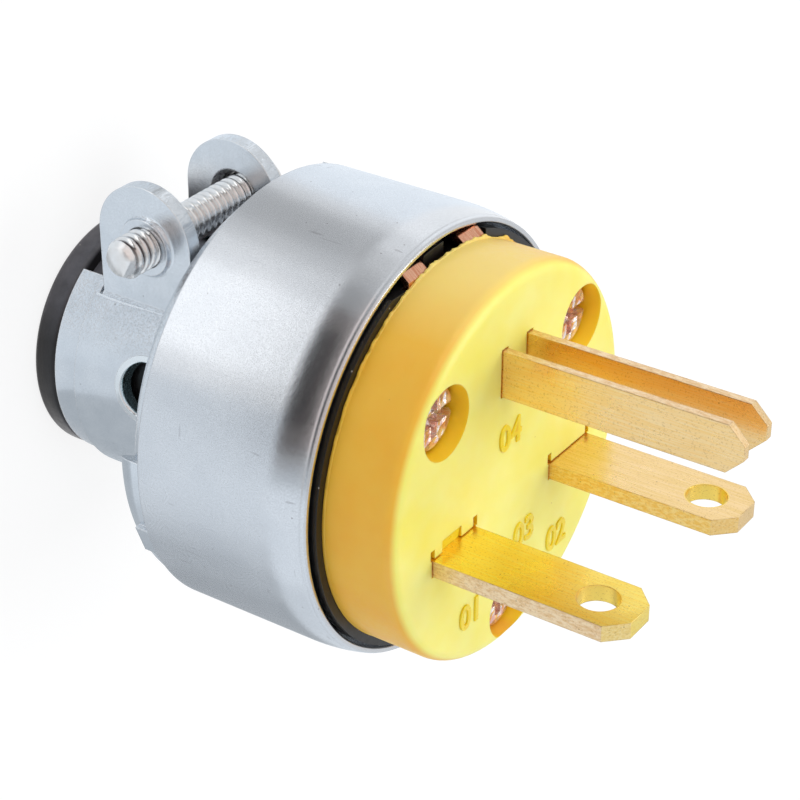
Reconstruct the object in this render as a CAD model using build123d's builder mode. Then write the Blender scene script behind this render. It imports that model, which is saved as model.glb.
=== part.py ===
from build123d import *
import os
from math import cos, radians, sin, sqrt, tan

# The plug stands on its cord end: Z runs along the plug towards the blades,
# X runs through the two power blades, Y points to the ground blade and the clamp ears.
# All sizes in millimetres.

# Lengths along the plug, one after another from the cord end
neck_len = 16.7
cap_depth = 15.3
body_depth = 5.0
face_depth = 7.0

# Yellow face
face_step = 0.8
face_edge = 1.2
recess_r = 3.25
recess_depth = 3.4

# Power blades
blade_pitch = 18.26
blade_y = -3.8
blade_w = 6.35
blade_t = 1.52
blade_out = 17.5
blade_corner = 1.7
blade_hole_r = 1.8
blade_hole_back = 3.8
shoulder_w = 9.2
shoulder_h = 1.5
slot_fit = 0.12
slot_relief_w = 0.6
slot_relief_h = 1.0
slot_notch_w = 2.85
slot_notch_h = 1.2
slot_notch_shift = 0.35

# Ground blade, two leaves folded from one strip
ground_y = 9.75
ground_w = 4.6
ground_h = 4.3
leaf_t = 0.75
ground_out = 22.0
leaf_corner = 1.5
web_reach = 1.3

# Steel shell
shell_r = 20.1
shell_wall = 0.6
shell_from_floor = 2.8
curl_r = 15.0
curl_turn = 15.6
lip_drop = 0.4
rim_round = 0.2

# Steel rear cap with neck and clamp ears
cap_wall = 1.3
cap_corner_r = 4.0
heel_h = 0.5
heel_round = 2.2
heel_in_r = 15.0
heel_top_y = 1.2
heel_slant = 30.0
neck_r = 11.9
neck_root_r = 0.6
neck_slot_back = 1.9
strip_step = 0.5
strip_h = 2.7
ear_inset = 6.56
ear_shift = -1.26
ear_t = 1.4
ear_rise = 3.05
ear_round = 5.0
ear_from_strip = 0.84
relief_h = 0.3
relief_inset = 2.1
neck_hole_r = 3.1
neck_hole_back = 3.5
neck_hole_angle = 168.0
collar_r = 2.6
collar_h = 0.5
collar_blend = 0.4
far_hole_r = 2.6
clamp_drop = 0.35
clamp_front = 0.3
stop_angles = (60.0, 201.0, 339.0)
stop_rise = 0.4
stop_w = 3.0
stop_h = 1.4
tap_collar_r = 2.8
tap_collar_h = 1.2

# Rubber cord bushing
flange_h = 2.7
flange_step = 0.1
bore_r = 5.0
bushing_past = 0.7
bushing_round = 0.6

# Screws
clamp_screw_r = 1.85
clamp_screw_past = 3.75
clamp_head_r = 3.3
clamp_head_h = 2.4
thread_fit = 0.05
hole_fit = 0.2
face_screw_r = 1.75
face_screw_past = 0.4
face_head_r = 3.0
face_head_h = 2.2
side_screw_inset = 4.0
side_screw_angle = 41.0
low_screw_inset = 3.6
wire_screw_r = 2.05
wire_head_r = 3.2
wire_head_h = 1.9
wire_screw_past = 1.4
wire_screw_depth = 5.8
drive_w = 1.1
drive_deep = 1.1
cross_len = 3.4
cross_w = 0.9
cross_deep = 1.5

# Wire plates under the terminal screws
plate_side = 7.2
plate_t = 1.0

# Black insulating body
body_inset = 0.8
groove_deep = 0.35
groove_h = 0.8
groove_down = (1.0, 2.6)
skirt_wall = 1.5
skirt_depth = 4.0
column_r = 3.1
barrier_t = 1.5
barrier_y = 2.0
barrier_gap = 0.35
notch_depth = 1.8
notch_side_gap = 2.5

# Copper ground strap, with two fingers bent down onto the shell
strap_t = 0.55
strap_side = 3.6
strap_inset = 4.1
finger_w = 2.8
finger_x = 4.15
finger_root = 1.0
finger_bend = 1.1
finger_corner = 0.6
finger_press = 0.03
finger_drop = 3.3
finger_toe = 1.0
finger_toe_in = 0.5

# Fibre liner inside the cap
liner_wall = 0.5
liner_gap = 0.25

# Heights that follow from the sizes above
cap_floor_z = neck_len
cap_front_z = cap_floor_z + cap_depth
seam_z = cap_front_z + body_depth
face_z = seam_z + face_depth
floor_top_z = cap_floor_z + cap_wall
collar_top_z = floor_top_z + tap_collar_h
shell_rear_z = cap_floor_z + shell_from_floor
heel_z = cap_floor_z - heel_h
strip_z = flange_h
strip_end_z = strip_z + strip_h
neck_slot_end_z = cap_floor_z - neck_slot_back
neck_hole_z = cap_floor_z - neck_hole_back
ear_rear_z = strip_end_z + ear_from_strip
ear_z = ear_rear_z + ear_round
clamp_z = ear_z + clamp_front
bushing_end_z = cap_floor_z + bushing_past
head_seat_z = face_z - recess_depth
face_screw_len = head_seat_z - cap_floor_z + face_screw_past
wire_screw_z = cap_front_z - wire_screw_depth
tail_end_z = wire_screw_z - plate_side / 2
barrier_end_z = tail_end_z
skirt_end_z = cap_front_z - skirt_depth
blade_tip_z = face_z + blade_out
strap_z = seam_z - strap_t
web_z = strap_z - leaf_t

# Radii and places across the plug that follow
cap_r = shell_r - shell_wall
cap_in_r = cap_r - cap_wall
body_r = cap_r - body_inset
face_r = body_r - face_step
skirt_r = cap_in_r - liner_wall - liner_gap
barrier_reach = skirt_r - skirt_wall - barrier_gap
notch_r = body_r - notch_depth
strap_half_w = ground_w / 2 + strap_side
strap_front_y = body_r - strap_inset
neck_in_r = neck_r - cap_wall
strip_r = neck_r - strip_step
strip_in_r = strip_r - cap_wall
flange_r = strip_r - flange_step
relief_y = neck_in_r - relief_inset
ear_gap = 2 * (neck_r - ear_inset)
ear_span = ear_gap + 2 * ear_t
near_ear_x = ear_shift - ear_span / 2
far_ear_x = ear_shift + ear_gap / 2
head_x = far_ear_x + ear_t
ear_y = neck_r + ear_rise
clamp_y = ear_y - clamp_drop
clamp_screw_len = ear_span + clamp_screw_past
blade_x = blade_pitch / 2
ground_tail_y = ground_y - ground_h / 2 - web_reach
side_screw_x = (face_r - side_screw_inset) * cos(radians(side_screw_angle))
side_screw_y = (face_r - side_screw_inset) * sin(radians(side_screw_angle))
low_screw_y = low_screw_inset - face_r
screw_points = [(-side_screw_x, side_screw_y), (side_screw_x, side_screw_y), (0, low_screw_y)]
blade_points = [(-blade_x, blade_y), (blade_x, blade_y)]


def rings(shape, radius, place, along="Z"):
    """Round edges of one radius whose centre has one place along an axis."""
    return shape.edges().filter_by(
        lambda e: e.geom_type == GeomType.CIRCLE
        and abs(e.radius - radius) < 0.01
        and abs(getattr(e.arc_center, along) - place) < 0.01
    )


# Steel shell: a drawn ring whose front edge curls inward
with BuildPart() as steel_shell:
    curl_z = seam_z - lip_drop - curl_r * sin(radians(curl_turn))
    with BuildSketch(Plane.XZ):
        with BuildLine():
            outside = Line((shell_r, shell_rear_z), (shell_r, curl_z))
            centre = (shell_r - curl_r, curl_z)
            curl_out = CenterArc(centre, curl_r, 0, curl_turn)
            curl_in = CenterArc(centre, curl_r - shell_wall, curl_turn, -curl_turn)
            Line(curl_out @ 1, curl_in @ 0)
            inside = Line(curl_in @ 1, (shell_r - shell_wall, shell_rear_z))
            Line(inside @ 1, outside @ 0)
        make_face()
    revolve(axis=Axis.Z)
    fillet(steel_shell.edges().group_by(Axis.Z)[0], rim_round)
    fillet(steel_shell.edges().group_by(Axis.Z)[-1], rim_round)

# Rear cap: cup, floor, slotted neck and two clamp ears, one stamping
with BuildPart() as rear_cap:
    with BuildSketch(Plane.XY.offset(cap_floor_z)):
        Circle(cap_r)
    extrude(amount=cap_front_z - cap_floor_z)
    with BuildSketch(Plane.XY.offset(strip_end_z)):
        Circle(neck_r)
    extrude(amount=cap_floor_z - strip_end_z)
    with BuildSketch(Plane.XY.offset(strip_z)):
        Circle(strip_r)
    extrude(amount=strip_end_z - strip_z)
    fillet(rings(rear_cap, cap_r, cap_floor_z), cap_corner_r)
    fillet(rings(rear_cap, neck_r, cap_floor_z), neck_root_r)
    # Heel: on the side away from the ears the corner of the cup stands out further
    with BuildSketch(Plane.XY.offset(heel_z)):
        Circle(cap_r)
        Circle(heel_in_r, mode=Mode.SUBTRACT)
        with BuildLine():
            heel_mid_y = heel_top_y - cap_r * tan(radians(heel_slant))
            Polyline(
                (-cap_r, heel_top_y), (0, heel_mid_y), (cap_r, heel_top_y),
                (cap_r, cap_r), (-cap_r, cap_r), close=True,
            )
        make_face(mode=Mode.SUBTRACT)
    extrude(amount=heel_h + cap_corner_r)
    fillet(rings(rear_cap, cap_r, heel_z), heel_round)
    # The hollow of the cup and of the neck
    with BuildSketch(Plane.XY.offset(floor_top_z)):
        Circle(cap_in_r)
    extrude(amount=cap_front_z - floor_top_z, mode=Mode.SUBTRACT)
    fillet(rings(rear_cap, cap_in_r, floor_top_z), cap_corner_r - cap_wall)
    with BuildSketch(Plane.XY.offset(strip_end_z)):
        Circle(neck_in_r)
    extrude(amount=floor_top_z - strip_end_z, mode=Mode.SUBTRACT)
    with BuildSketch(Plane.XY.offset(strip_z)):
        Circle(strip_in_r)
    extrude(amount=strip_end_z - strip_z, mode=Mode.SUBTRACT)
    # The neck is open along the top, between the ears
    with BuildSketch(Plane.XY.offset(strip_z)):
        with Locations((ear_shift, neck_r)):
            Rectangle(ear_gap, 2 * neck_r)
    extrude(amount=neck_slot_end_z - strip_z, mode=Mode.SUBTRACT)
    # A relief cut frees the fold of each ear from the end strip
    with BuildSketch(Plane.XY.offset(ear_rear_z - relief_h)):
        with Locations((0, relief_y + neck_r / 2)):
            Rectangle(2 * neck_r, neck_r)
    extrude(amount=relief_h, mode=Mode.SUBTRACT)
    # Ears stand straight up from the neck wall, a little to one side of the middle
    for inner_x, outward in ((near_ear_x + ear_t, -1), (far_ear_x, 1)):
        fold_y = sqrt(neck_in_r**2 - inner_x**2)
        with BuildSketch(Plane.YZ.offset(inner_x)):
            with Locations((ear_y, ear_z)):
                Circle(ear_round)
            with Locations(((fold_y + ear_y) / 2, ear_z)):
                Rectangle(ear_y - fold_y, 2 * ear_round)
        extrude(amount=outward * ear_t)
    with BuildSketch(Plane.YZ.offset(near_ear_x)):
        with Locations((clamp_y, clamp_z)):
            Circle(collar_r)
    extrude(amount=-collar_h)
    fillet(rings(rear_cap, collar_r, near_ear_x, "X"), collar_blend)
    with BuildSketch(Plane.YZ.offset(near_ear_x - collar_h)):
        with Locations((clamp_y, clamp_z)):
            Circle(clamp_screw_r + thread_fit)
    extrude(amount=collar_h + ear_t, mode=Mode.SUBTRACT)
    with BuildSketch(Plane.YZ.offset(far_ear_x)):
        with Locations((clamp_y, clamp_z)):
            Circle(far_hole_r)
    extrude(amount=ear_t, mode=Mode.SUBTRACT)
    # Round window on each side of the neck
    for turn in (neck_hole_angle, 180 - neck_hole_angle):
        out = (cos(radians(turn)), sin(radians(turn)), 0)
        with BuildSketch(Plane(origin=(0, 0, neck_hole_z), z_dir=out)):
            Circle(neck_hole_r)
        extrude(amount=neck_r + cap_wall, mode=Mode.SUBTRACT)
    # Raised stops that the shell is pressed up to
    with BuildSketch(Plane.XY.offset(shell_rear_z - stop_h)):
        for turn in stop_angles:
            with PolarLocations(cap_r, 1, start_angle=turn):
                Rectangle(2 * stop_rise, stop_w)
    extrude(amount=stop_h)
    # Tapped collars for the face screws
    with BuildSketch(Plane.XY.offset(floor_top_z)):
        with Locations(*screw_points):
            Circle(tap_collar_r)
    extrude(amount=tap_collar_h)
    with BuildSketch(Plane.XY.offset(collar_top_z)):
        with Locations(*screw_points):
            Circle(face_screw_r + thread_fit)
    extrude(amount=cap_floor_z - face_screw_past - collar_top_z, mode=Mode.SUBTRACT)

# Rubber bushing: a flanged tube that the neck squeezes onto the cord
with BuildPart() as cord_bushing:
    with BuildSketch():
        Circle(flange_r)
    extrude(amount=strip_z)
    with BuildSketch(Plane.XY.offset(strip_z)):
        Circle(strip_in_r)
    extrude(amount=bushing_end_z - strip_z)
    fillet(rings(cord_bushing, flange_r, strip_z), bushing_round)
    fillet(rings(cord_bushing, flange_r, 0), bushing_round)
    with BuildSketch():
        Circle(bore_r)
    extrude(amount=bushing_end_z, mode=Mode.SUBTRACT)
    chamfer(rings(cord_bushing, bore_r, 0), bushing_round)
    chamfer(rings(cord_bushing, bore_r, bushing_end_z), bushing_round)

# Clamp screw, head on the plain-hole ear, point past the tapped ear
with BuildPart() as clamp_screw:
    with BuildSketch(Plane.YZ.offset(head_x)):
        with Locations((clamp_y, clamp_z)):
            Circle(clamp_head_r)
    extrude(amount=clamp_head_h)
    fillet(clamp_screw.edges().group_by(Axis.X)[-1], clamp_head_h / 3)
    with BuildSketch(Plane.YZ.offset(head_x)):
        with Locations((clamp_y, clamp_z)):
            Circle(clamp_screw_r)
    extrude(amount=-clamp_screw_len)
    chamfer(clamp_screw.edges().group_by(Axis.X)[0], clamp_screw_r / 4)
    with BuildSketch(Plane.YZ.offset(head_x + clamp_head_h)):
        with Locations((clamp_y, clamp_z)):
            Rectangle(2 * clamp_head_r, drive_w)
    extrude(amount=-drive_deep, mode=Mode.SUBTRACT)

# Yellow face with blade slots and screw recesses
with BuildPart() as face:
    with BuildSketch(Plane.XY.offset(seam_z)):
        Circle(face_r)
    extrude(amount=face_depth)
    fillet(rings(face, face_r, face_z), face_edge)
    with BuildSketch(Plane.XY.offset(seam_z)):
        with Locations(*screw_points):
            Circle(face_screw_r + hole_fit)
        with Locations(*blade_points):
            Rectangle(blade_w + 2 * slot_fit, blade_t + 2 * slot_fit)
        slot_top_y = blade_y + blade_t / 2
        slot_ends = [x + side * blade_w / 2 for x, y in blade_points for side in (-1, 1)]
        with Locations(*[(x, slot_top_y + slot_relief_h / 2) for x in slot_ends]):
            Rectangle(slot_relief_w, slot_relief_h)
        with Locations((-blade_x - slot_notch_shift, slot_top_y + slot_notch_h / 2)):
            Rectangle(slot_notch_w, slot_notch_h)
        for side in (-1, 1):
            with Locations((side * (ground_w - leaf_t) / 2, ground_y)):
                Rectangle(leaf_t + 2 * slot_fit, ground_h + 2 * slot_fit)
    extrude(amount=face_depth, mode=Mode.SUBTRACT)
    with BuildSketch(Plane.XY.offset(head_seat_z)):
        with Locations(*screw_points):
            Circle(recess_r)
    extrude(amount=recess_depth, mode=Mode.SUBTRACT)

# Black body: disc behind the face, skirt, screw columns and barriers
with BuildPart() as insulator_body:
    with BuildSketch(Plane.XY.offset(cap_front_z)):
        Circle(body_r)
    extrude(amount=seam_z - cap_front_z)
    for down in groove_down:
        with BuildSketch(Plane.XY.offset(seam_z - down - groove_h)):
            Circle(body_r)
            Circle(body_r - groove_deep, mode=Mode.SUBTRACT)
        extrude(amount=groove_h, mode=Mode.SUBTRACT)
    with BuildSketch(Plane.XY.offset(skirt_end_z)):
        Circle(skirt_r)
        Circle(skirt_r - skirt_wall, mode=Mode.SUBTRACT)
    extrude(amount=cap_front_z - skirt_end_z)
    with BuildSketch(Plane.XY.offset(collar_top_z)):
        with Locations(*screw_points):
            Circle(column_r)
    extrude(amount=cap_front_z - collar_top_z)
    with BuildSketch(Plane.XY.offset(barrier_end_z)):
        with Locations((0, barrier_y)):
            Rectangle(2 * barrier_reach, barrier_t)
        with Locations((0, (barrier_y + low_screw_y) / 2)):
            Rectangle(barrier_t, barrier_y - low_screw_y)
    extrude(amount=cap_front_z - barrier_end_z)
    # Seats for the blade shoulders and slots for the tails
    with BuildSketch(Plane.XY.offset(seam_z - shoulder_h)):
        with Locations(*blade_points):
            Rectangle(shoulder_w + 2 * slot_fit, blade_t + 2 * slot_fit)
    extrude(amount=shoulder_h, mode=Mode.SUBTRACT)
    with BuildSketch(Plane.XY.offset(cap_front_z)):
        with Locations(*blade_points):
            Rectangle(blade_w + 2 * slot_fit, blade_t + 2 * slot_fit)
        with Locations((0, ground_tail_y + leaf_t / 2)):
            Rectangle(blade_w + 2 * slot_fit, leaf_t + 2 * slot_fit)
    extrude(amount=seam_z - cap_front_z, mode=Mode.SUBTRACT)
    # Seat for the strap and, below it, for the web of the ground blade
    with BuildSketch(Plane.XY.offset(strap_z)):
        with Locations((0, (ground_tail_y + body_r) / 2)):
            Rectangle(2 * strap_half_w, body_r - ground_tail_y + 2 * slot_fit)
    extrude(amount=strap_t, mode=Mode.SUBTRACT)
    with BuildSketch(Plane.XY.offset(web_z)):
        with Locations((0, ground_y)):
            Rectangle(blade_w + 2 * slot_fit, ground_h + 2 * web_reach + 2 * slot_fit)
    extrude(amount=leaf_t, mode=Mode.SUBTRACT)
    # A notch in the rim beside each spring finger
    for side in (-1, 1):
        right = side * finger_x + finger_w / 2 + slot_fit
        left = side * finger_x - finger_w / 2 - notch_side_gap
        with BuildSketch(Plane.XY.offset(cap_front_z)):
            with Locations(((left + right) / 2, notch_r + body_r / 2)):
                Rectangle(right - left, body_r)
        extrude(amount=seam_z - cap_front_z, mode=Mode.SUBTRACT)
    with BuildSketch(Plane.XY.offset(collar_top_z)):
        with Locations(*screw_points):
            Circle(face_screw_r + hole_fit)
    extrude(amount=seam_z - collar_top_z, mode=Mode.SUBTRACT)

# Power blades: flat brass with a shoulder behind the face and a tapped tail
with BuildPart() as blade_left:
    with BuildSketch(Plane.XZ.offset(-blade_y - blade_t / 2)):
        with Locations((-blade_x, (tail_end_z + blade_tip_z) / 2)):
            Rectangle(blade_w, blade_tip_z - tail_end_z)
        with Locations((-blade_x, seam_z - shoulder_h / 2)):
            Rectangle(shoulder_w, shoulder_h)
    extrude(amount=blade_t)
    chamfer(blade_left.edges().filter_by(Axis.Y).group_by(Axis.Z)[-1], blade_corner)
    with BuildSketch(Plane.XZ.offset(-blade_y - blade_t / 2)):
        with Locations((-blade_x, blade_tip_z - blade_hole_back)):
            Circle(blade_hole_r)
        with Locations((-blade_x, wire_screw_z)):
            Circle(wire_screw_r + thread_fit)
    extrude(amount=blade_t, mode=Mode.SUBTRACT)

with BuildPart() as blade_right:
    mirror(blade_left.part, about=Plane.YZ)

# Ground blade: two leaves on a web, with a tail behind the body disc
with BuildPart() as ground_blade:
    for side in (-1, 1):
        with BuildSketch(Plane.YZ.offset(side * (ground_w - leaf_t) / 2 - leaf_t / 2)):
            with Locations((ground_y, (web_z + face_z + ground_out) / 2)):
                Rectangle(ground_h, face_z + ground_out - web_z)
        extrude(amount=leaf_t)
    chamfer(ground_blade.edges().filter_by(Axis.X).group_by(Axis.Z)[-1], leaf_corner)
    with BuildSketch(Plane.XY.offset(web_z)):
        with Locations((0, ground_y)):
            Rectangle(blade_w, ground_h + 2 * web_reach)
    extrude(amount=leaf_t)
    with BuildSketch(Plane.XZ.offset(-ground_tail_y - leaf_t)):
        with Locations((0, (tail_end_z + strap_z) / 2)):
            Rectangle(blade_w, strap_z - tail_end_z)
    extrude(amount=leaf_t)
    with BuildSketch(Plane.XZ.offset(-ground_tail_y)):
        with Locations((0, wire_screw_z)):
            Circle(wire_screw_r + leaf_t)
    extrude(amount=leaf_t)
    with BuildSketch(Plane.XZ.offset(-ground_tail_y - leaf_t)):
        with Locations((0, wire_screw_z)):
            Circle(wire_screw_r + thread_fit)
    extrude(amount=2 * leaf_t, mode=Mode.SUBTRACT)

# Copper strap: plate round the ground blade with two fingers sprung on the shell
with BuildPart() as ground_strap:
    with BuildSketch(Plane.XY.offset(strap_z)):
        with Locations((0, (ground_tail_y + strap_front_y) / 2)):
            Rectangle(2 * (strap_half_w - slot_fit), strap_front_y - ground_tail_y)
        with Locations((0, ground_y)):
            Rectangle(ground_w, ground_h, mode=Mode.SUBTRACT)
    extrude(amount=strap_t)
    mid_z = strap_z + strap_t / 2
    touch_y = sqrt(cap_r**2 - (finger_x + finger_w / 2) ** 2) - strap_t / 2
    for side in (-1, 1):
        with BuildSketch(Plane.YZ.offset(side * finger_x - finger_w / 2)):
            with BuildLine():
                Polyline(
                    (strap_front_y - finger_root, mid_z),
                    (touch_y - finger_bend, mid_z),
                    (touch_y - finger_corner, mid_z - finger_corner),
                    (touch_y - finger_press, mid_z - finger_drop),
                    (touch_y - finger_toe_in, mid_z - finger_drop - finger_toe),
                )
            trace(line_width=strap_t)
        extrude(amount=finger_w)

# Fibre liner: a thin sleeve that keeps the terminals off the steel
with BuildPart() as fibre_liner:
    with BuildSketch(Plane.XY.offset(cap_floor_z + cap_corner_r)):
        Circle(cap_in_r)
        Circle(cap_in_r - liner_wall, mode=Mode.SUBTRACT)
    extrude(amount=cap_front_z - cap_floor_z - cap_corner_r)


def face_screw(x, y):
    """Pan-headed screw with a slot and a cross, from the face to the cap floor."""
    with BuildPart() as screw:
        with BuildSketch(Plane.XY.offset(head_seat_z)):
            with Locations((x, y)):
                Circle(face_head_r)
        extrude(amount=face_head_h)
        fillet(screw.edges().group_by(Axis.Z)[-1], face_head_h / 3)
        with BuildSketch(Plane.XY.offset(head_seat_z)):
            with Locations((x, y)):
                Circle(face_screw_r)
        extrude(amount=-face_screw_len)
        chamfer(screw.edges().group_by(Axis.Z)[0], face_screw_r / 4)
        with BuildSketch(Plane.XY.offset(head_seat_z + face_head_h)):
            with Locations((x, y)):
                Rectangle(2 * face_head_r, drive_w)
        extrude(amount=-drive_deep, mode=Mode.SUBTRACT)
        with BuildSketch(Plane.XY.offset(head_seat_z + face_head_h)):
            with Locations((x, y)):
                Rectangle(cross_len, cross_w)
                Rectangle(cross_w, cross_len)
        extrude(amount=-cross_deep, mode=Mode.SUBTRACT)
    return screw.part


def wire_screw(x, seat_y, out):
    """Terminal screw on an axis along Y; its head faces the side given by out."""
    with BuildPart() as screw:
        with BuildSketch(Plane.XZ.offset(-seat_y)):
            with Locations((x, wire_screw_z)):
                Circle(wire_head_r)
        extrude(amount=-out * wire_head_h)
        with BuildSketch(Plane.XZ.offset(-seat_y)):
            with Locations((x, wire_screw_z)):
                Circle(wire_screw_r)
        extrude(amount=out * (plate_t + blade_t + wire_screw_past))
        with BuildSketch(Plane.XZ.offset(-seat_y - out * wire_head_h)):
            with Locations((x, wire_screw_z)):
                Rectangle(2 * wire_head_r, drive_w)
        extrude(amount=out * drive_deep, mode=Mode.SUBTRACT)
    return screw.part


def wire_plate(x, back_y, out):
    """Square plate that presses the wire onto a terminal tail."""
    with BuildPart() as plate:
        with BuildSketch(Plane.XZ.offset(-back_y)):
            with Locations((x, wire_screw_z)):
                Rectangle(plate_side, plate_side)
                Circle(wire_screw_r + hole_fit, mode=Mode.SUBTRACT)
        extrude(amount=-out * plate_t)
    return plate.part


blade_back_y = blade_y - blade_t / 2
ground_back_y = ground_tail_y + leaf_t
pieces = {
    "steel_shell": steel_shell.part,
    "rear_cap": rear_cap.part,
    "cord_bushing": cord_bushing.part,
    "clamp_screw": clamp_screw.part,
    "face": face.part,
    "insulator_body": insulator_body.part,
    "blade_left": blade_left.part,
    "blade_right": blade_right.part,
    "ground_blade": ground_blade.part,
    "ground_strap": ground_strap.part,
    "fibre_liner": fibre_liner.part,
    "face_screw_left": face_screw(*screw_points[0]),
    "face_screw_right": face_screw(*screw_points[1]),
    "face_screw_low": face_screw(*screw_points[2]),
    "wire_screw_left": wire_screw(-blade_x, blade_back_y - plate_t, -1),
    "wire_screw_right": wire_screw(blade_x, blade_back_y - plate_t, -1),
    "wire_screw_ground": wire_screw(0, ground_back_y + plate_t, 1),
    "wire_plate_left": wire_plate(-blade_x, blade_back_y, -1),
    "wire_plate_right": wire_plate(blade_x, blade_back_y, -1),
    "wire_plate_ground": wire_plate(0, ground_back_y, 1),
}

os.makedirs("parts", exist_ok=True)
for node, solid in pieces.items():
    solid.label = node
    export_step(solid, f"parts/{node}.step")
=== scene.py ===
import math

import bmesh
import bpy
from mathutils import Matrix, Vector, noise


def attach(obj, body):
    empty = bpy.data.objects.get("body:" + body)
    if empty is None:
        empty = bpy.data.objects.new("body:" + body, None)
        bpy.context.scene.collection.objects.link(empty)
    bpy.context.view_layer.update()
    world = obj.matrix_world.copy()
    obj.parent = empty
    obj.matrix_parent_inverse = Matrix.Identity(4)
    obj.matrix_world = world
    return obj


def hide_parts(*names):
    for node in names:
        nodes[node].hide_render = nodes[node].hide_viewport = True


MM = 0.001

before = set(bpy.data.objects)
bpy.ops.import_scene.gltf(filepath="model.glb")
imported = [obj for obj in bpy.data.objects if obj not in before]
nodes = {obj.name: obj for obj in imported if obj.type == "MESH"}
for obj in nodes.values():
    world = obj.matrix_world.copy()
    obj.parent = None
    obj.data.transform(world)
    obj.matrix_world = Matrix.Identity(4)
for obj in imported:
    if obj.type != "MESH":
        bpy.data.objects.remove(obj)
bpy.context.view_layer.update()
scene = bpy.context.scene
scene.view_settings.view_transform = "Standard"


def linear(red, green, blue):
    """A display colour of 0 to 255 as the linear colour that shaders use."""
    parts = []
    for value in (red, green, blue):
        c = value / 255
        parts.append(c / 12.92 if c <= 0.04045 else ((c + 0.055) / 1.055) ** 2.4)
    return (*parts, 1.0)


# Camera at the photograph's viewing angle: its place in millimetres, then its axes
camera_at = Vector((-141.12, 102.157, 128.785))
camera_right = Vector((0.56508, 0.00171, 0.82504))
camera_up = Vector((0.41510, 0.86362, -0.28609))
camera_back = Vector((-0.71301, 0.50413, 0.48730))
camera_data = bpy.data.cameras.new("camera")
camera_data.sensor_width = 36.0
camera_data.lens = 103.107
camera_data.clip_start = 0.005
camera_data.clip_end = 10.0
camera = bpy.data.objects.new("camera", camera_data)
scene.collection.objects.link(camera)
camera_turn = Matrix((camera_right, camera_up, camera_back)).transposed()
camera.matrix_world = Matrix.Translation(camera_at * MM) @ camera_turn.to_4x4()
scene.camera = camera


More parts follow.
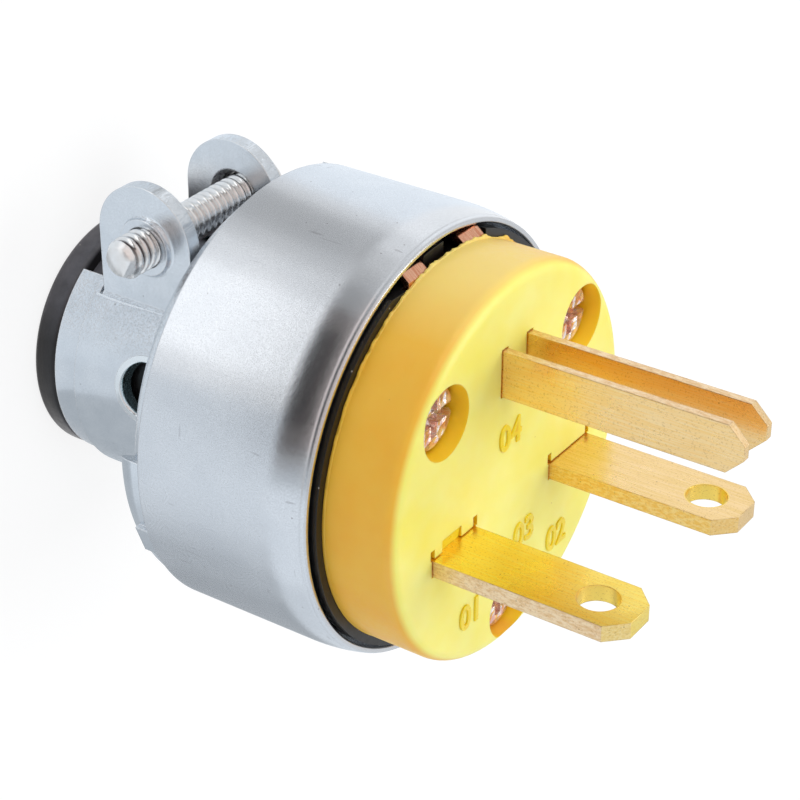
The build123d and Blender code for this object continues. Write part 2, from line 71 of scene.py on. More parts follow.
class Look:
    """One node material. Its patterns read object coordinates in millimetres."""

    def __init__(self, name, metallic=0.0):
        self.mat = bpy.data.materials.new(name)
        self.mat.use_nodes = True
        self.tree = self.mat.node_tree
        self.tree.nodes.clear()
        out = self.node("ShaderNodeOutputMaterial")
        self.bsdf = self.node("ShaderNodeBsdfPrincipled")
        self.bsdf.inputs["Metallic"].default_value = metallic
        self.tree.links.new(self.bsdf.outputs["BSDF"], out.inputs["Surface"])
        coord = self.node("ShaderNodeTexCoord")
        scale = self.node("ShaderNodeVectorMath", operation="SCALE")
        scale.inputs["Scale"].default_value = 1 / MM
        self.tree.links.new(coord.outputs["Object"], scale.inputs[0])
        self.at = scale.outputs["Vector"]

    def node(self, kind, **settings):
        made = self.tree.nodes.new(kind)
        for key, value in settings.items():
            setattr(made, key, value)
        return made

    def put(self, socket, value):
        if isinstance(value, bpy.types.NodeSocket):
            self.tree.links.new(value, socket)
        else:
            socket.default_value = value

    def set(self, name, value):
        self.put(self.bsdf.inputs[name], value)

    def math(self, operation, a, b=0.0):
        made = self.node("ShaderNodeMath", operation=operation)
        self.put(made.inputs[0], a)
        self.put(made.inputs[1], b)
        return made.outputs["Value"]

    def times(self, a, b):
        return self.math("MULTIPLY", a, b)

    def vector(self, operation, a, b=None):
        """A vector node's result: a number for a length or a dot product, else a vector."""
        made = self.node("ShaderNodeVectorMath", operation=operation)
        self.put(made.inputs[0], a)
        if b is not None:
            self.put(made.inputs[1], b)
        return made.outputs["Value" if operation in ("LENGTH", "DOT_PRODUCT") else "Vector"]

    def stretched(self, x, y, z):
        return self.vector("MULTIPLY", self.at, (x, y, z))

    def place(self):
        """Where the surface point is, as outputs named X, Y and Z."""
        made = self.node("ShaderNodeSeparateXYZ")
        self.put(made.inputs[0], self.at)
        return made.outputs

    def noise(self, size, detail=2.0, rough=0.5, at=None):
        made = self.node("ShaderNodeTexNoise")
        self.put(made.inputs["Vector"], at or self.at)
        made.inputs["Scale"].default_value = 1 / size
        made.inputs["Detail"].default_value = detail
        made.inputs["Roughness"].default_value = rough
        return made.outputs["Fac"]

    def cells(self, size):
        """Distance from the middle of the nearest of many uneven cells."""
        made = self.node("ShaderNodeTexVoronoi")
        self.put(made.inputs["Vector"], self.at)
        made.inputs["Scale"].default_value = 1 / size
        return made.outputs["Distance"]

    def specks(self, spacing, size):
        """1 inside small dots, one for each cell of the given spacing."""
        return self.span(self.cells(spacing), size / spacing, 0.4 * size / spacing, 0, 1)

    def span(self, value, low, high, to_low=0.0, to_high=1.0):
        made = self.node("ShaderNodeMapRange")
        self.put(made.inputs["Value"], value)
        limits = {"From Min": low, "From Max": high, "To Min": to_low, "To Max": to_high}
        for key, number in limits.items():
            made.inputs[key].default_value = number
        return made.outputs["Result"]

    def blend(self, factor, a, b):
        """A mix of two colours. Each is another mix, or a display colour of 0 to 255."""
        made = self.node("ShaderNodeMix", data_type="RGBA")
        self.put(made.inputs[0], factor)
        for socket, colour in ((made.inputs[6], a), (made.inputs[7], b)):
            self.put(socket, linear(*colour) if isinstance(colour, tuple) else colour)
        return made.outputs[2]

    def facing(self, x, y, z, low=0.6, high=0.8):
        """1 where the surface faces along the axis, whichever way."""
        normal = self.node("ShaderNodeNewGeometry").outputs["Normal"]
        return self.span(self.math("ABSOLUTE", self.vector("DOT_PRODUCT", normal, (x, y, z))), low, high)

    def rounded(self, radius):
        """The normal of a surface whose edges have this radius in millimetres."""
        bevel = self.node("ShaderNodeBevel", samples=4)
        bevel.inputs["Radius"].default_value = radius * MM
        return bevel.outputs["Normal"]

    def edge_wear_and_highlight(self, radius):
        """1 within the radius in millimetres of an edge."""
        normal = self.node("ShaderNodeNewGeometry").outputs["Normal"]
        return self.span(self.vector("DOT_PRODUCT", normal, self.rounded(radius)), 0.98, 0.8)

    def polish(self, size, low, high):
        """Roughness that drifts between two values over patches of the given size."""
        self.set("Roughness", self.span(self.noise(size, 2), 0.3, 0.7, low, high))

    def bump(self, *layers, edge=0.0):
        """Layers of (height, depth in millimetres), over edges rounded by the given radius."""
        normal = self.rounded(edge) if edge else None
        for height, depth in layers:
            made = self.node("ShaderNodeBump")
            made.inputs["Distance"].default_value = depth * MM
            self.put(made.inputs["Height"], height)
            if normal is not None:
                self.put(made.inputs["Normal"], normal)
            normal = made.outputs["Normal"]
        self.set("Normal", normal)

    def translucent(self, depth):
        """Lets light a little way, in millimetres, into yellow plastic."""
        self.set("Specular IOR Level", 0.35)
        self.set("Subsurface Weight", 0.25)
        self.set("Subsurface Radius", (1.0, 0.6, 0.15))
        self.set("Subsurface Scale", depth * MM)

    def wear(self, *names):
        for name in names:
            data = nodes[name].data
            data.materials.clear()
            data.materials.append(self.mat)


# Satin zinc on the drawn shell: fine grain, dark pits and a few short scratches
shell = Look("shell_steel", metallic=1.0)
pits = shell.specks(1.9, 0.1)
grain = shell.noise(0.12, 5, 0.8)
near_lip = shell.span(shell.place()["Z"], 32.2, 33.6)
scratch = shell.span(shell.noise(0.5, 1, at=shell.stretched(1, 1, 0.12)), 0.75, 0.79)
nick = shell.span(shell.noise(0.7, 1, at=shell.stretched(0.16, 0.16, 1)), 0.76, 0.8)
clouds = shell.span(shell.noise(5, 3), 0.35, 0.65)
tone = shell.blend(clouds, (224, 227, 231), (234, 236, 239))
tone = shell.blend(shell.span(grain, 0.3, 0.7), tone, (209, 211, 215))
tone = shell.blend(shell.times(pits, 0.55), tone, (120, 110, 108))
tone = shell.blend(shell.times(shell.math("MAXIMUM", scratch, nick), 0.3), tone, (132, 128, 130))
tone = shell.blend(shell.times(shell.edge_wear_and_highlight(0.25), 0.45), tone, (206, 196, 190))
shell.set("Base Color", tone)
satin = shell.span(grain, 0.3, 0.7, 0.2, 0.34)
shell.set("Roughness", shell.math("SUBTRACT", satin, shell.times(near_lip, 0.07)))
shell.bump((grain, 0.003), (shell.noise(0.6, 2), 0.006), (pits, -0.006), edge=0.12)
shell.wear("steel_shell")

# Bluish zinc on the rear cap, with press marks across its cut edges
cap = Look("cap_steel", metallic=1.0)
clouds = cap.span(cap.noise(3, 3), 0.35, 0.65)
grain = cap.noise(0.13, 5, 0.75)
marks = cap.noise(0.16, 2, at=cap.stretched(0.12, 1, 1))
cut = cap.times(cap.facing(0, 1, 0, 0.3, 0.6), cap.span(marks, 0.5, 0.62))
tone = cap.blend(clouds, (222, 227, 232), (232, 236, 240))
tone = cap.blend(cap.span(grain, 0.35, 0.7, 0.0, 0.6), tone, (206, 210, 216))
tone = cap.blend(cap.times(cap.specks(1.6, 0.1), 0.45), tone, (120, 112, 112))
# Painted highlight: near-white lines along the cap's edges
tone = cap.blend(cap.times(cap.edge_wear_and_highlight(0.22), 0.85), tone, (246, 246, 246))
cap.set("Base Color", tone)
cap.set("Roughness", cap.span(grain, 0.3, 0.7, 0.18, 0.28))
cap.bump((grain, 0.0018), (cap.noise(0.7, 2), 0.006), (cut, 0.03), edge=0.15)
cap.wear("rear_cap")

# The same zinc, with painted shade: darker and greener further into the windows of the neck
teal = Look("window_rim_steel", metallic=1.0)
inwards = teal.span(teal.vector("LENGTH", teal.stretched(1, 1, 0)), 11.75, 11.35)
tone = teal.blend(teal.noise(0.5, 2), (150, 182, 190), (188, 210, 214))
# Painted shade: the zinc darkens and turns greener towards the inside of each window
teal.set("Base Color", teal.blend(inwards, (238, 242, 244), tone))
teal.polish(0.3, 0.12, 0.3)
teal.bump((teal.noise(0.25, 2), 0.01), edge=0.05)

# Rubbed-bright zinc of the folds at the ears
fold = Look("fold_steel", metallic=1.0)
fold.set("Base Color", fold.blend(fold.noise(0.5, 2), (226, 230, 234), (246, 247, 248)))
fold.polish(0.3, 0.2, 0.34)
fold.bump((fold.noise(0.2, 2), 0.006), edge=0.04)

# Bright plating on the clamp screw, with painted shade darkening its thread grooves towards its point,
# and a dull cut end
screw_y, screw_z = 14.6, 11.54
bright = Look("screw_steel", metallic=1.0)
from_axis = bright.vector("SUBTRACT", bright.at, (0, screw_y, screw_z))
from_axis = bright.vector("LENGTH", bright.vector("MULTIPLY", from_axis, (0, 1, 1)))
along = bright.place()["X"]
ahead = bright.span(along, -8.2, -9.4, 0.15, 1.0)
behind = bright.span(along, -11.2, -10.9)
# Painted shade: dark thread grooves towards the point
groove_painted_shade = bright.times(bright.span(from_axis, 1.66, 1.5), bright.times(ahead, behind))
tone = bright.blend(bright.noise(0.6, 2), (232, 228, 224), (248, 248, 248))
bright.set("Base Color", bright.blend(groove_painted_shade, tone, (58, 50, 52)))
gloss = bright.span(bright.noise(0.3, 2), 0.3, 0.7, 0.12, 0.26)
bright.set("Roughness", bright.math("ADD", gloss, bright.span(along, -10.9, -11.3, 0.0, 0.16)))
bright.bump((bright.noise(0.15, 2), 0.003), edge=0.05)

# Rubber bushing, with painted light: paler grey patches on the sides that face the ears and away from
# them
rubber = Look("bushing_rubber")
tone = rubber.blend(rubber.noise(2, 3), (18, 17, 18), (34, 31, 33))
patches = rubber.span(rubber.noise(1.5, 3), 0.2, 0.7, 0.3, 0.7)
# Painted light: paler grey patches on the sides facing along ±Y
tone = rubber.blend(rubber.times(rubber.facing(0, 1, 0, 0.3, 0.75), patches), tone, (112, 110, 116))
rubber.set("Base Color", rubber.blend(rubber.specks(1.6, 0.12), tone, (150, 145, 142)))
rubber.polish(0.8, 0.3, 0.42)
rubber.set("Specular IOR Level", 0.4)
streaks = rubber.noise(0.5, 2, at=rubber.stretched(0.1, 0.1, 1))
rubber.bump((rubber.noise(0.2, 2), 0.01), (streaks, 0.02), edge=0.1)
rubber.wear("cord_bushing")

# Yellow moulded plastic with painted light and shade: a pale, lit copy on the front with painted sheen,
# a deeper, shaded copy round the side, painted bounce light in the recesses, and painted light on the
# side towards +Y, nearest the ground blade
yellow = Look("face_plastic")
place = yellow.place()
clouds = yellow.span(yellow.noise(4, 3), 0.3, 0.7)
# Painted light and shade: front faces take the pale lit copy, the rest the deeper shaded copy
front = yellow.times(yellow.facing(0, 0, 1, 0.5, 0.85), yellow.span(place["Z"], 42.4, 43.6))
# Painted bounce light: a brighter, more saturated yellow on the walls inside the face's recesses
recess_painted_light = yellow.span(yellow.vector("LENGTH", yellow.stretched(1, 1, 0)), 17.5, 17.2)
side_painted_shade_and_light = yellow.blend(clouds, (252, 188, 54), (253, 197, 66))
side_painted_shade_and_light = yellow.blend(recess_painted_light, side_painted_shade_and_light, (255, 212, 40))
# Painted light: the side grows paler towards +Y
side_painted_shade_and_light = yellow.blend(yellow.times(yellow.span(place["Y"], 15.0, 17.8), 0.75), side_painted_shade_and_light, (255, 228, 130))
tone = yellow.blend(front, side_painted_shade_and_light, yellow.blend(clouds, (253, 240, 112), (254, 245, 136)))
tone = yellow.blend(yellow.times(yellow.specks(2.6, 0.09), 0.6), tone, (170, 120, 30))
yellow.set("Base Color", tone)
yellow.polish(0.5, 0.34, 0.46)
yellow.translucent(1.2)
flow = yellow.noise(0.3, 2, at=yellow.stretched(0.12, 0.12, 1))
yellow.bump((yellow.noise(0.25, 2), 0.006), (flow, 0.008), edge=0.15)
yellow.wear("face")

# The same plastic, deeper, for raised numbers and the web in the slot
marked = Look("marks_plastic")
marked.set("Base Color", marked.blend(marked.noise(0.8, 2), (252, 214, 32), (254, 226, 60)))
marked.polish(0.5, 0.26, 0.4)
marked.translucent(0.8)
marked.bump((marked.noise(0.25, 2), 0.008), edge=0.08)

# Black moulded body with a little dust
black = Look("body_plastic")
tone = black.blend(black.noise(2, 2), (10, 10, 11), (22, 21, 22))
dust = black.times(black.specks(1.3, 0.1), 0.8)
black.set("Base Color", black.blend(dust, tone, (190, 185, 180)))
black.polish(0.6, 0.28, 0.42)
black.bump((black.noise(0.2, 2), 0.006), edge=0.08)
black.wear("insulator_body")


def brass(name, edge_axis, flats, sides):
    """Rolled strip with lengthwise lines; its cut edges are pinker and rougher, its holes bright."""
    hole_x, hole_z = 9.13, 57.7
    look = Look(name, metallic=1.0)
    lines = look.noise(0.12, 3, at=look.stretched(1, 1, 0.03))
    torn = look.noise(0.2, 3, at=look.stretched(1, 1, 0.35))
    place = look.place()
    squares = [look.math("POWER", look.math("ABSOLUTE", away), 2) for away in (
        look.math("SUBTRACT", look.math("ABSOLUTE", place["X"]), hole_x),
        look.math("SUBTRACT", place["Z"], hole_z))]
    bore = look.span(look.math("SQRT", look.math("ADD", *squares)), 1.95, 1.86)
    cut = look.times(look.facing(*edge_axis), look.math("SUBTRACT", 1.0, bore))
    flat = look.blend(look.span(lines, 0.4, 0.6), *flats)
    side = look.blend(look.span(torn, 0.4, 0.6), *sides)
    tone = look.blend(cut, flat, side)
    tone = look.blend(bore, tone, (255, 220, 110))
    speckle = look.span(look.noise(0.17, 2), 0.56, 0.72, 0.0, 0.32)
    tone = look.blend(speckle, tone, (150, 100, 56))
    tone = look.blend(look.times(look.specks(1.2, 0.08), 0.6), tone, (110, 72, 42))
    rim = look.blend(look.span(look.noise(0.9, 2), 0.45, 0.6), (252, 228, 176), (156, 108, 66))
    look.set("Base Color", look.blend(look.times(look.edge_wear_and_highlight(0.1), 0.6), tone, rim))
    mottle = look.span(look.noise(2.5, 1), 0.3, 0.7, 0.26, 0.34)
    look.set("Roughness", look.math("ADD", mottle, look.times(cut, 0.12)))
    look.bump((lines, 0.004), (look.times(torn, cut), 0.014), edge=0.14)
    return look


pink_sides, gold_sides = ((232, 196, 148), (246, 220, 182)), ((242, 196, 100), (250, 216, 140))
plain_flats, painted_reflection_flats = ((238, 204, 138), (246, 214, 160)), ((255, 224, 104), (255, 233, 128))
ground_flats = ((251, 211, 142), (253, 221, 166))
brass("blade_brass", (1, 0, 0), plain_flats, gold_sides).wear("blade_right")
# The left blade's flats are yellower: a painted reflection of the yellow face
brass("blade_brass_painted_reflection", (1, 0, 0), painted_reflection_flats, pink_sides).wear("blade_left")
brass("ground_brass", (0, 1, 0), ground_flats, pink_sides).wear("ground_blade")

# Copper strap
copper = Look("strap_copper", metallic=1.0)
lines = copper.noise(0.15, 2, at=copper.stretched(1, 0.08, 0.08))
tone = copper.blend(copper.span(lines, 0.35, 0.65), (220, 148, 114), (242, 186, 154))
copper.set("Base Color", tone)
copper.polish(0.5, 0.18, 0.34)
copper.bump((lines, 0.008), edge=0.1)
copper.wear("ground_strap")

# Plating of the face screws: bright and uneven, with pink and gold patches
plated = Look("face_screw_plating", metallic=0.75)
patches = plated.span(plated.noise(0.9, 3), 0.42, 0.6)
tone = plated.blend(patches, (255, 250, 247), (244, 196, 180))
tone = plated.blend(plated.times(plated.specks(1.1, 0.25), 0.5), tone, (252, 228, 150))
tone = plated.blend(plated.times(plated.edge_wear_and_highlight(0.15), 0.6), tone, (252, 246, 240))
plated.set("Base Color", tone)
plated.polish(0.4, 0.08, 0.2)
plated.bump((plated.cells(0.9), 0.3), (plated.noise(0.5, 2), 0.03), edge=0.12)
plated.wear("face_screw_left", "face_screw_right", "face_screw_low")

# Terminal hardware inside the cap
inner = Look("wire_screw_brass", metallic=1.0)
inner.set("Base Color", inner.blend(inner.noise(0.6, 2), (214, 164, 86), (238, 198, 118)))
inner.polish(0.3, 0.22, 0.4)
inner.bump((inner.noise(0.2, 2), 0.008), edge=0.08)
inner.wear("wire_screw_left", "wire_screw_right")

green = Look("ground_screw_green")
green.set("Base Color", green.blend(green.noise(0.6, 2), (26, 92, 48), (44, 128, 70)))
green.polish(0.3, 0.25, 0.42)
green.bump((green.noise(0.3, 2), 0.01), edge=0.08)
green.wear("wire_screw_ground")

plate = Look("plate_brass", metallic=1.0)
lines = plate.noise(0.15, 2, at=plate.stretched(0.06, 1, 1))
tone = plate.blend(plate.span(lines, 0.35, 0.65), (206, 160, 88), (236, 196, 122))
plate.set("Base Color", tone)
plate.polish(0.4, 0.26, 0.42)
plate.bump((lines, 0.006), edge=0.08)
plate.wear("wire_plate_left", "wire_plate_right", "wire_plate_ground")

fibre = Look("liner_fibre")
threads = fibre.noise(0.2, 3, at=fibre.stretched(0.3, 0.3, 1))
fibre.set("Base Color", fibre.blend(threads, (52, 44, 40), (84, 74, 66)))
fibre.set("Roughness", fibre.span(threads, 0.3, 0.7, 0.7, 0.9))
fibre.bump((threads, 0.02))
fibre.wear("fibre_liner")


def finish_piece(name, bm, look, smooth=35):
    """Turns mesh code into a piece that rides on the plug."""
    mesh = bpy.data.meshes.new(name)
    bmesh.ops.recalc_face_normals(bm, faces=bm.faces)
    bm.to_mesh(mesh)
    bm.free()
    mesh.shade_smooth()
    mesh.set_sharp_from_angle(angle=math.radians(smooth))
    mesh.materials.append(look.mat)
    piece = bpy.data.objects.new(name, mesh)
    scene.collection.objects.link(piece)
    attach(piece, "root")
    return piece


def around(steps):
    """Angles of a full turn, in radians."""
    return [2 * math.pi * step / steps for step in range(steps)]


def wheel(sections, closed=True):
    """A mesh whose sections follow each other round a full turn, in millimetres.

    A closed section is a loop of points, and one that isn't closed is a row."""
    bm = bmesh.new()
    rows = [[bm.verts.new(Vector(point) * MM) for point in section] for section in sections]
    for step, here in enumerate(rows):
        there = rows[(step + 1) % len(rows)]
        for i in range(len(here) if closed else len(here) - 1):
            k = (i + 1) % len(here)
            bm.faces.new((here[i], there[i], there[k], here[k]))
    return bm


def wrap(bm, previous, ring):
    """Faces between a ring of vertices and the one made before it."""
    for i in range(len(ring)):
        k = (i + 1) % len(ring)
        bm.faces.new((previous[i], previous[k], ring[k], ring[i]))


# Steel shell: the same drawn ring, turned finely, with a faint hem line just behind its lip
shell_r, shell_wall, rear_z, straight_z = 20.1, 0.6, 19.5, 26.0
edge_r = 0.15
curl_r, curl_turn, curl_z, curl_share, curl_steps = 15.0, math.radians(15.6), 32.566, 0.965, 60
hem_at, hem_wide, hem_deep = 0.885, 0.03, 0.035
outside = [(shell_r, rear_z + edge_r), (shell_r, straight_z)]
for step in range(curl_steps + 1):
    u = step / curl_steps * curl_share
    dent = hem_deep * max(0.0, 1 - abs(u - hem_at) / hem_wide)
    outside.append((shell_r - curl_r * (1 - math.cos(curl_turn * u)) - dent,
                    curl_z + curl_r * math.sin(curl_turn * u)))
lip_r, lip_top = outside[-1]
lip = [(lip_r - inwards, lip_top + up)
       for inwards, up in ((0.07, 0.1), (0.18, 0.14), (0.42, 0.12), (0.56, 0.0))]
inside = [(r - shell_wall, z - 0.1) for r, z in reversed(outside[2:-1:6])]
rear = [(shell_r - shell_wall, rear_z + edge_r), (shell_r - shell_wall + edge_r, rear_z),
        (shell_r - edge_r, rear_z)]
profile = outside + lip + inside + rear
bm = wheel([[(r * math.cos(a), r * math.sin(a), z) for r, z in profile] for a in around(400)])
spun = finish_piece("steel_shell_turned", bm, shell)
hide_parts("steel_shell")

# Clamp screw: the CAD head, and a shank with a real helical thread and a facet on its point
head_x, tip_x, overlap = 5.48, -11.75, 0.01
crest_r, root_r, pitch = 1.85, 1.46, 0.84
root_share, flank_share = 0.14, 0.68
tip_r, tip_taper, tip_flat = 1.34, 0.8, 0.35
facet_y, facet_z, facet_start, facet_slope = -0.48, 0.876, 0.95, 0.75
ring_steps, steps_per_pitch = 48, 14
bm = bmesh.new()
bm.from_mesh(nodes["clamp_screw"].data)
everything = bm.verts[:] + bm.edges[:] + bm.faces[:]
bmesh.ops.bisect_plane(bm, geom=everything, plane_co=((head_x - overlap) * MM, 0, 0),
                       plane_no=(1, 0, 0), clear_inner=True)
rows = round((head_x - tip_x) / pitch * steps_per_pitch)
previous = None
for row in range(rows + 1):
    x = tip_x + (head_x - tip_x) * row / rows
    cone = tip_r + (x - tip_x) / tip_taper * (crest_r - tip_r)
    ring = []
    for step, angle in enumerate(around(ring_steps)):
        phase = (x / pitch + step / ring_steps) % 1.0
        rise = min(max((1 - abs(2 * phase - 1) - root_share) / flank_share, 0.0), 1.0)
        rise = rise * rise * (3 - 2 * rise)
        radius = root_r + (crest_r - root_r) * rise
        radius = cone if x < tip_x + tip_flat else min(radius, cone)
        lean = facet_y * math.cos(angle) + facet_z * math.sin(angle)
        if lean > 0.01:
            radius = min(radius, (facet_start + facet_slope * (x - tip_x)) / lean)
        point = (x, screw_y + radius * math.cos(angle), screw_z + radius * math.sin(angle))
        ring.append(bm.verts.new(Vector(point) * MM))
    if previous:
        wrap(bm, previous, ring)
    else:
        middle = bm.verts.new(Vector((x, screw_y, screw_z)) * MM)
        for step in range(ring_steps):
            bm.faces.new((middle, ring[step], ring[(step + 1) % ring_steps]))
    previous = ring
threaded = finish_piece("clamp_screw_threaded", bm, bright, smooth=38)
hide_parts("clamp_screw")

# Rolled rims that narrow the two round windows in the neck, as (into the hole, into the neck)
neck_r, window_r, window_z = 11.9, 3.1, 13.2
rim_section = ((0.0, 0.0), (0.3, -0.01), (0.38, -0.06), (0.48, -0.06),
               (0.58, 0.04), (0.68, 0.3), (0.74, 1.3), (0.0, 1.3))
for side, turn in (("left", 168.0), ("right", 12.0)):
    out = Vector((math.cos(math.radians(turn)), math.sin(math.radians(turn)), 0))
    across = Vector((-out.y, out.x, 0))
    sections = []
    for a in around(72):
        section = []
        for narrower, deeper in rim_section:
            u, v = (window_r - narrower) * math.cos(a), (window_r - narrower) * math.sin(a)
            depth = math.sqrt(neck_r**2 - u * u) - deeper
            section.append(out * depth + across * u + Vector((0, 0, window_z + v)))
        sections.append(section)
    finish_piece(f"neck_window_rim_{side}", wheel(sections), teal, smooth=50)


def tube(name, points, look):
    """A bead along (point, radius) pairs."""
    bm = bmesh.new()
    previous = None
    for n, (point, radius) in enumerate(points):
        before, after = points[max(n - 1, 0)][0], points[min(n + 1, len(points) - 1)][0]
        ahead = (Vector(after) - Vector(before)).normalized()
        side = ahead.orthogonal().normalized()
        up = ahead.cross(side)
        ring = [bm.verts.new((Vector(point) + (side * math.cos(a) + up * math.sin(a)) * radius) * MM)
                for a in around(12)]
        if previous:
            wrap(bm, previous, ring)
        previous = ring
    return finish_piece(name, bm, look, smooth=60)


# Bright fold lines where the clamp ears leave the neck: a bead that wavers and thins at its ends
fold_r, fold_turn, fold_waver = 11.86, 134.6, 0.3
fold_z, fold_long, fold_steps = 5.7, 7.9, 12
bead_r = 0.15
for side, sign in (("left", -1), ("right", 1)):
    path = []
    for n in range(fold_steps + 1):
        u = n / fold_steps
        turn = math.radians(fold_turn + fold_waver * math.sin(5 * u))
        swell = 0.35 + 0.65 * math.sin(math.pi * min(1.0, 0.25 + 0.9 * u))
        point = (sign * fold_r * -math.cos(turn), fold_r * math.sin(turn), fold_z + fold_long * u)
        path.append((point, bead_r * swell))
    tube(f"ear_fold_{side}", path, fold)

# Funnel inside the far ear's hole, round the shank of the clamp screw, as (depth, radius)
far_face, hole_r = 4.08, 2.6
funnel_section = ((0.04, hole_r - 0.01), (0.22, 2.4), (0.62, 2.12), (1.0, 1.98), (1.1, 2.1),
                  (1.1, hole_r - 0.01))
bm = wheel([[(far_face + depth, screw_y + r * math.cos(a), screw_z + r * math.sin(a))
             for depth, r in funnel_section] for a in around(64)])
finish_piece("far_ear_funnel", bm, fold, smooth=60)

# A thin web of yellow closes the notch beside the left blade
web_x, web_y, web_low, web_tops = (-10.89, -8.07), (-3.03, -1.86), 42.3, (43.72, 43.88)
outline = ((0, 0), (1, 0), (1, 1), (0, 1))
points = [(web_x[i], web_y[j], web_low) for i, j in outline]
points += [(web_x[i], web_y[j], web_tops[j]) for i, j in outline]
bm = bmesh.new()
corners = [bm.verts.new(Vector(point) * MM) for point in points]
for face in ((0, 3, 2, 1), (4, 5, 6, 7), (0, 1, 5, 4), (1, 2, 6, 5), (2, 3, 7, 6), (3, 0, 4, 7)):
    bm.faces.new([corners[n] for n in face])
finish_piece("slot_web", bm, marked)

# Ragged moulding flash where the yellow face meets the black body, widest towards +Y
seam_z, face_z, face_r = 37.0, 44.0, 17.9
sections = []
for angle in around(480):
    out = Vector((math.cos(angle), math.sin(angle), 0))
    wave = noise.noise(out * 9) * 0.6 + noise.noise(out * 34 + Vector((3, 1, 7))) * 0.45
    strength = max(0.0, 0.08 + 0.92 * math.sin(angle))
    reach = face_r + 0.02 + strength * max(0.0, 0.1 + 0.55 * wave)
    lift = 0.05 + 0.08 * noise.noise(out * 21 + Vector((5, 5, 5)))
    section = ((face_r - 0.05, 0.34), (face_r + 0.01 + 0.09 * strength, 0.26),
               (reach, 0.12 + lift), (reach - 0.03, 0.03), (face_r - 0.05, 0.03))
    sections.append([out * r + Vector((0, 0, seam_z + h)) for r, h in section])
bm = wheel(sections, closed=False)
finish_piece("moulding_flash", bm, yellow, smooth=60)


def raised_number(name, text, x, y):
    """A generic number standing a little proud of the face."""
    curve = bpy.data.curves.new(name, "FONT")
    curve.body = text
    curve.size = 3.4 * MM
    curve.align_x = "CENTER"
    curve.align_y = "CENTER"
    curve.offset = 0.03 * MM
    curve.extrude = 0.12 * MM
    curve.bevel_depth = 0.05 * MM
    curve.bevel_resolution = 2
    curve.resolution_u = 6
    holder = bpy.data.objects.new(name + "_outline", curve)
    scene.collection.objects.link(holder)
    bpy.context.view_layer.update()
    evaluated = holder.evaluated_get(bpy.context.evaluated_depsgraph_get())
    mesh = bpy.data.meshes.new_from_object(evaluated)
    bpy.data.objects.remove(holder)
    mesh.transform(Matrix.Translation(Vector((x, y, face_z)) * MM))
    bm = bmesh.new()
    bm.from_mesh(mesh)
    bpy.data.meshes.remove(mesh)
    finish_piece(name, bm, marked)


raised_number("mark_left", "01", -6.45, -11.7)
raised_number("mark_right", "02", 7.5, -11.3)
raised_number("mark_middle", "03", 1.9, -7.9)
raised_number("mark_ground", "04", -0.8, 3.2)


def shader(tree, kind, **inputs):
    """The output of a shader node whose inputs are the same all over."""
    made = tree.nodes.new(kind)
    for name, value in inputs.items():
        made.inputs[name].default_value = value
    return made.outputs[0]


def show_or_light(tree, output, lighting, shown):
    """Ends a tree in one shader for rays that show the surface, and another for its light."""
    path = tree.nodes.new("ShaderNodeLightPath")
    seen = path.outputs["Is Camera Ray"]
    for ray in ("Is Glossy Ray", "Is Transmission Ray"):
        either = tree.nodes.new("ShaderNodeMath")
        either.operation = "MAXIMUM"
        tree.links.new(seen, either.inputs[0])
        tree.links.new(path.outputs[ray], either.inputs[1])
        seen = either.outputs[0]
    choice = tree.nodes.new("ShaderNodeMixShader")
    for socket, source in zip(choice.inputs, (seen, lighting, shown)):
        tree.links.new(source, socket)
    tree.links.new(choice.outputs[0], tree.nodes.new(output).inputs["Surface"])


# Pale floor. It shows white to the camera and keeps a soft shadow
floor_mesh = bpy.data.meshes.new("floor")
floor_mesh.from_pydata([(-3, -3, 0), (3, -3, 0), (3, 3, 0), (-3, 3, 0)], [], [(0, 1, 2, 3)])
floor = bpy.data.objects.new("floor", floor_mesh)
scene.collection.objects.link(floor)
floor_mat = bpy.data.materials.new("floor")
floor_mat.use_nodes = True
tree = floor_mat.node_tree
tree.nodes.clear()
veiled = tree.nodes.new("ShaderNodeAddShader")
glow = shader(tree, "ShaderNodeEmission", Strength=0.82)
veil = shader(tree, "ShaderNodeBsdfDiffuse", Color=(0.22, 0.22, 0.22, 1))
tree.links.new(glow, veiled.inputs[0])
tree.links.new(veil, veiled.inputs[1])
plain = shader(tree, "ShaderNodeBsdfDiffuse", Color=(0.72, 0.72, 0.73, 1))
show_or_light(tree, "ShaderNodeOutputMaterial", plain, veiled.outputs[0])
floor_mesh.materials.append(floor_mat)

# World: full strength where it is seen or mirrored, softer and bluer as light
world = bpy.data.worlds.new("studio")
scene.world = world
world.use_nodes = True
tree = world.node_tree
tree.nodes.clear()
full = shader(tree, "ShaderNodeBackground", Strength=1.0)
soft = shader(tree, "ShaderNodeBackground", Color=(0.95, 0.97, 1.0, 1), Strength=0.4)
show_or_light(tree, "ShaderNodeOutputWorld", soft, full)

middle = Vector((0, 0, 32)) * MM


def toward(azimuth, elevation):
    """Unit vector from the object towards that side; azimuth 0 is +X, 90 is +Y."""
    a, e = math.radians(azimuth), math.radians(elevation)
    return Vector((math.cos(a) * math.cos(e), math.sin(a) * math.cos(e), math.sin(e)))


def lamp(name, azimuth, elevation, distance, size, power):
    """A square lamp that faces the plug's middle; distance and size are in metres."""
    data = bpy.data.lights.new(name, "AREA")
    data.shape = "SQUARE"
    data.size = size
    data.energy = power
    made = bpy.data.objects.new(name, data)
    scene.collection.objects.link(made)
    away = toward(azimuth, elevation)
    made.location = middle + away * distance
    made.rotation_mode = "QUATERNION"
    made.rotation_quaternion = away.to_track_quat("Z", "Y")


lamp("key", 20, 62, 0.45, 0.3, 0.95)
lamp("front", 100, 22, 0.5, 0.35, 0.95)
lamp("low", 228, 16, 0.5, 0.35, 0.7)
lamp("side", -60, 35, 0.5, 0.3, 0.35)


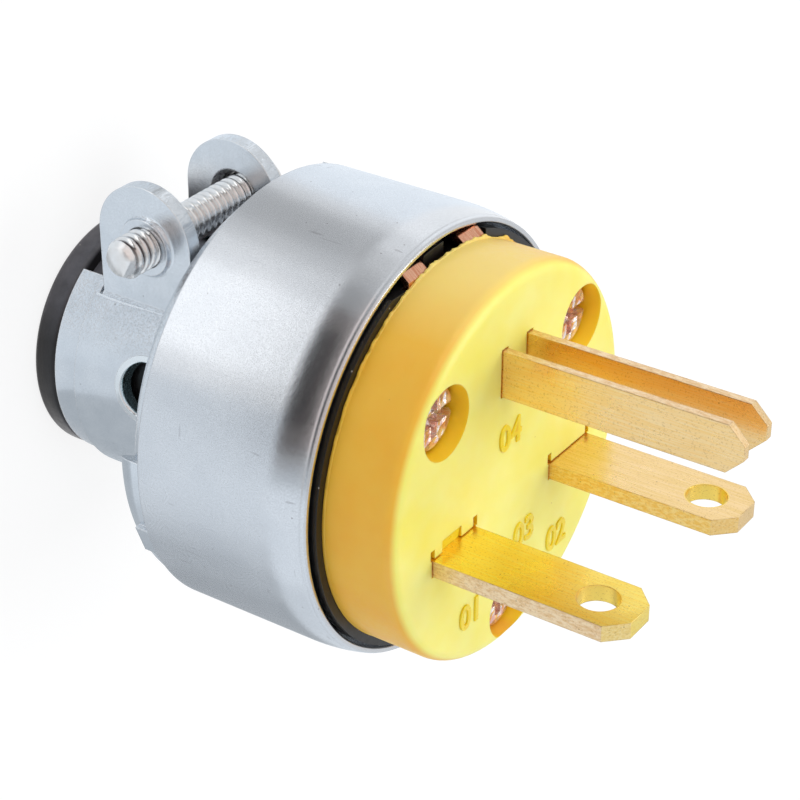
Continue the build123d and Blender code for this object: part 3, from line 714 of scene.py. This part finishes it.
def card(name, start, stop, near, far, grey, tint):
    """Part of a ring round the plug that only reflections see, from one angle to another.

    It gives the metal a light or dark band. Near and far are its edges as (radius, height)."""
    steps = max(2, round((stop - start) / 6))
    corners = []
    for step in range(steps + 1):
        a = math.radians(start + (stop - start) * step / steps)
        corners += [Vector((r * math.cos(a), r * math.sin(a), z)) * MM for r, z in (near, far)]
    faces = [(2 * i, 2 * i + 1, 2 * i + 3, 2 * i + 2) for i in range(steps)]
    mesh = bpy.data.meshes.new(name)
    mesh.from_pydata([tuple(corner) for corner in corners], [], faces)
    made = bpy.data.objects.new(name, mesh)
    scene.collection.objects.link(made)
    for ray in ("camera", "diffuse", "transmission", "shadow", "volume_scatter"):
        setattr(made, "visible_" + ray, False)
    mat = bpy.data.materials.new(name)
    mat.use_nodes = True
    mat.node_tree.nodes.clear()
    shine = shader(mat.node_tree, "ShaderNodeEmission", Color=(*tint, 1), Strength=grey)
    end = mat.node_tree.nodes.new("ShaderNodeOutputMaterial")
    mat.node_tree.links.new(shine, end.inputs["Surface"])
    mesh.materials.append(mat)


# Each ring of cards: near and far edge, then (angle at which a card starts, its grey, its tint)
blue, cool, warm = (0.93, 1.0, 1.07), (0.98, 1.0, 1.02), (1.1, 0.98, 0.95)
rings = {
    "near": ((12.5, 0.4), (38, 0.4), (
        (-60, 0.95, blue), (60, 0.82, blue), (174, 0.76, blue), (194, 0.54, blue),
        (250, 0.6, blue))),
    "middle": ((38, 0.4), (80, 0.4), (
        (-60, 0.55, blue), (-20, 1.05, blue), (52, 0.85, cool), (62, 0.48, cool),
        (84, 0.7, cool), (94, 1.0, cool), (108, 1.4, cool), (146, 1.05, cool),
        (156, 0.84, blue), (170, 0.88, blue), (206, 0.8, blue), (218, 0.66, blue),
        (230, 0.52, blue), (250, 0.44, blue), (290, 0.7, blue))),
    "far": ((80, 0.4), (300, 0.4), (
        (-60, 0.9, blue), (-20, 1.08, cool), (58, 0.9, cool), (72, 0.66, cool),
        (84, 0.52, cool), (94, 0.36, cool), (106, 0.14, warm), (116, 0.03, warm),
        (160, 0.12, warm), (172, 0.4, cool), (179, 0.6, blue), (187, 0.9, blue),
        (236, 0.8, blue), (300, 0.9, blue))),
    "wall": ((300, 0.4), (300, 10), (
        (-60, 0.9, cool), (58, 0.8, cool), (80, 0.5, cool), (94, 0.3, cool),
        (106, 0.12, warm), (116, 0.02, warm), (160, 0.15, warm), (174, 0.5, blue),
        (186, 0.9, blue), (300, 0.9, cool))),
    "rise": ((300, 10), (300, 30), (
        (-60, 0.9, cool), (60, 0.8, cool), (94, 0.55, warm), (168, 0.7, cool),
        (186, 0.9, blue), (300, 0.9, cool))),
    "dome": ((300, 30), (150, 220), (
        (-60, 0.75, cool), (60, 0.7, cool), (94, 0.6, warm), (170, 0.6, cool),
        (190, 0.8, blue), (300, 0.8, cool))),
}
for ring, (near, far, spans) in rings.items():
    for i, (start, grey, tint) in enumerate(spans):
        stop = spans[i + 1][0] if i + 1 < len(spans) else spans[0][0] + 360
        if stop > start:
            card(f"card_{ring}_{i}", start, stop, near, far, grey, tint)
